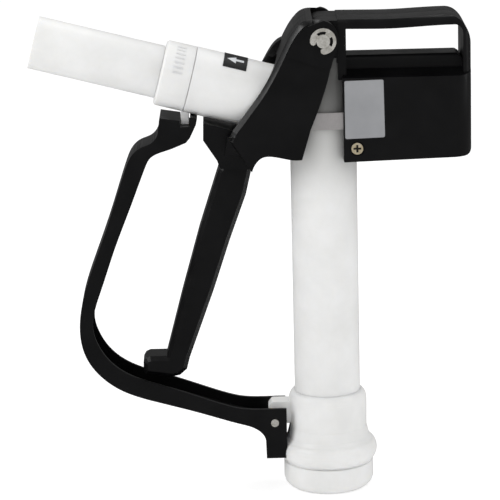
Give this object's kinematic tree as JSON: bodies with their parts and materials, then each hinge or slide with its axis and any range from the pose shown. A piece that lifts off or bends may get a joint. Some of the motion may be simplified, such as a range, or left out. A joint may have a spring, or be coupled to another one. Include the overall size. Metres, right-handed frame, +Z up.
{
  "type": "hand transfer pump",
  "caption": "Squeeze-lever hand transfer pump: upright barrel with swivel inlet nut, slanted spout, pivoting lever inside a finger guard, and a pump housing with a handle loop.",
  "frame": {"origin": "centre of the swivel nut's bottom face, on the barrel axis", "axes": "+Z up the barrel, -X towards the spout, +X towards the housing, +Y across the pump to the side away from the label"},
  "size_m": [0.2774, 0.063, 0.3113],
  "materials": {
    "white": "translucent natural polypropylene, satin",
    "black": "black glass-filled nylon, fine satin grain",
    "steel": "zinc-plated steel, lightly worn",
    "strap": "scuffed bare metal sheet",
    "screw": "yellow zinc plating",
    "plate": "matte silver foil label",
    "seal": "black nitrile rubber",
    "sticker": "printed black vinyl",
    "spring": "stainless spring wire"
  },
  "bodies": {
    "frame": {"barrel_tube": "white", "head_elbow": "white", "outlet_collar": "white", "spout_tube": "white", "spout_seal": "seal", "outlet_cage": "white", "outlet_spring": "spring", "flow_sticker": "sticker", "inlet_coupling": "white", "inlet_gasket": "seal", "inlet_cage": "white", "inlet_spring": "spring", "pivot_pin": "steel", "e_clips": "steel", "finger_guard": "black", "guard_pin": "steel", "housing_near": "black", "housing_far": "black", "barrel_saddle": "black", "housing_screws": "screw", "rating_plate": "plate", "port_seal": "seal", "pump_cylinder": "white", "return_spring": "spring"},
    "lever": {"lever": "black"},
    "plunger": {"piston": "white", "piston_seal": "seal", "piston_rod": "steel", "drive_strap": "strap", "drive_studs": "steel", "rod_nut": "steel"},
    "inlet_valve": {"inlet_valve": "white"},
    "outlet_valve": {"outlet_valve": "white"},
    "nut": {"swivel_nut": "white"}
  },
  "joints": [
    {"name": "lever_pivot", "type": "hinge", "parent": "frame", "child": "lever", "pos_m": [0, 0, 0.296], "axis": [0, -1, 0], "range_deg": [0, 15], "stiffness_Nm_per_rad": 1.5, "springref_deg": -14.32},
    {"name": "pump_stroke", "type": "slide", "parent": "frame", "child": "plunger", "axis": [1, 0, 0], "range_m": [0, 0.01396], "deforming": ["return_spring"]},
    {"name": "inlet_lift", "type": "slide", "parent": "frame", "child": "inlet_valve", "axis": [0, 0, 1], "range_m": [0, 0.004], "stiffness_N_per_m": 40, "springref_m": -0.002, "deforming": ["inlet_spring"]},
    {"name": "outlet_lift", "type": "slide", "parent": "frame", "child": "outlet_valve", "axis": [-0.9664, 0, 0.2571], "range_m": [0, 0.004], "stiffness_N_per_m": 40, "springref_m": -0.002, "deforming": ["outlet_spring"]},
    {"name": "nut_turn", "type": "hinge", "parent": "frame", "child": "nut", "pos_m": [0, 0, 0], "axis": [0, 0, 1], "continuous": true}
  ],
  "couplings": [
    {"joint": "pump_stroke", "follows": "lever_pivot", "m_per_rad": 0.0533}
  ]
}
